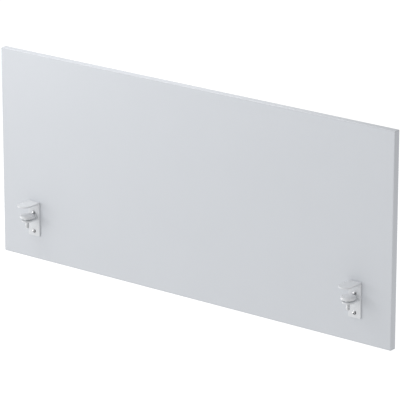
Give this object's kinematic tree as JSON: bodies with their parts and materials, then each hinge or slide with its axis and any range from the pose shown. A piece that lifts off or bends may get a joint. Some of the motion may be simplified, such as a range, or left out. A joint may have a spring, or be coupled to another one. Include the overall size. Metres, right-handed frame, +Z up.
{
  "type": "desk screen",
  "caption": "Flat rectangular desk screen: a light grey edge-banded board with bent steel brackets and screw clamps that grip the edge of a desk top.",
  "frame": {"origin": "midway between the two clamps, where the plane of the desk top meets the front faces of the bracket plates", "axes": "+X along the screen, -Y out from the clamps over the desk top, +Z up"},
  "size_m": [1, 0.064, 0.45],
  "materials": {
    "chipboard": "raw chipboard",
    "laminate": "fine-grained light grey melamine",
    "edge_band": "smooth light grey edging",
    "bracket_coat": "light grey semi-gloss powder coat",
    "zinc": "bright zinc plate",
    "nickel": "polished nickel plate",
    "pad": "light grey foam rubber"
  },
  "bodies": {
    "screen": {"panel_core": "chipboard", "front_laminate": "laminate", "rear_laminate": "laminate", "top_edge_band": "edge_band", "bottom_edge_band": "edge_band", "left_edge_band": "edge_band", "right_edge_band": "edge_band", "left_bracket_plate": "bracket_coat", "left_tongue_pad": "pad", "left_clamp_arm": "bracket_coat", "left_threaded_bush": "zinc", "left_upper_screw": "nickel", "left_lower_screw": "nickel", "right_bracket_plate": "bracket_coat", "right_tongue_pad": "pad", "right_clamp_arm": "bracket_coat", "right_threaded_bush": "zinc", "right_upper_screw": "nickel", "right_lower_screw": "nickel"},
    "left_foot": {"left_pressure_disc": "bracket_coat", "left_disc_pad": "pad"},
    "left_stem": {"left_clamp_screw": "zinc"},
    "right_foot": {"right_pressure_disc": "bracket_coat", "right_disc_pad": "pad"},
    "right_stem": {"right_clamp_screw": "zinc"}
  },
  "joints": [
    {"name": "left_foot_lift", "type": "slide", "parent": "screen", "child": "left_foot", "axis": [0, 0, 1], "range_m": [-0.0025, 0.012]},
    {"name": "left_screw_turn", "type": "hinge", "parent": "left_foot", "child": "left_stem", "pos_m": [-0.414, -0.022, -0.0375], "axis": [0, 0, 1], "range_deg": [-720, 3456]},
    {"name": "right_foot_lift", "type": "slide", "parent": "screen", "child": "right_foot", "axis": [0, 0, 1], "range_m": [-0.0025, 0.012]},
    {"name": "right_screw_turn", "type": "hinge", "parent": "right_foot", "child": "right_stem", "pos_m": [0.414, -0.022, -0.0375], "axis": [0, 0, 1], "range_deg": [-720, 3456]}
  ],
  "couplings": [
    {"joint": "left_screw_turn", "follows": "left_foot_lift", "rad_per_m": 5026.5},
    {"joint": "right_screw_turn", "follows": "right_foot_lift", "rad_per_m": 5026.5}
  ]
}
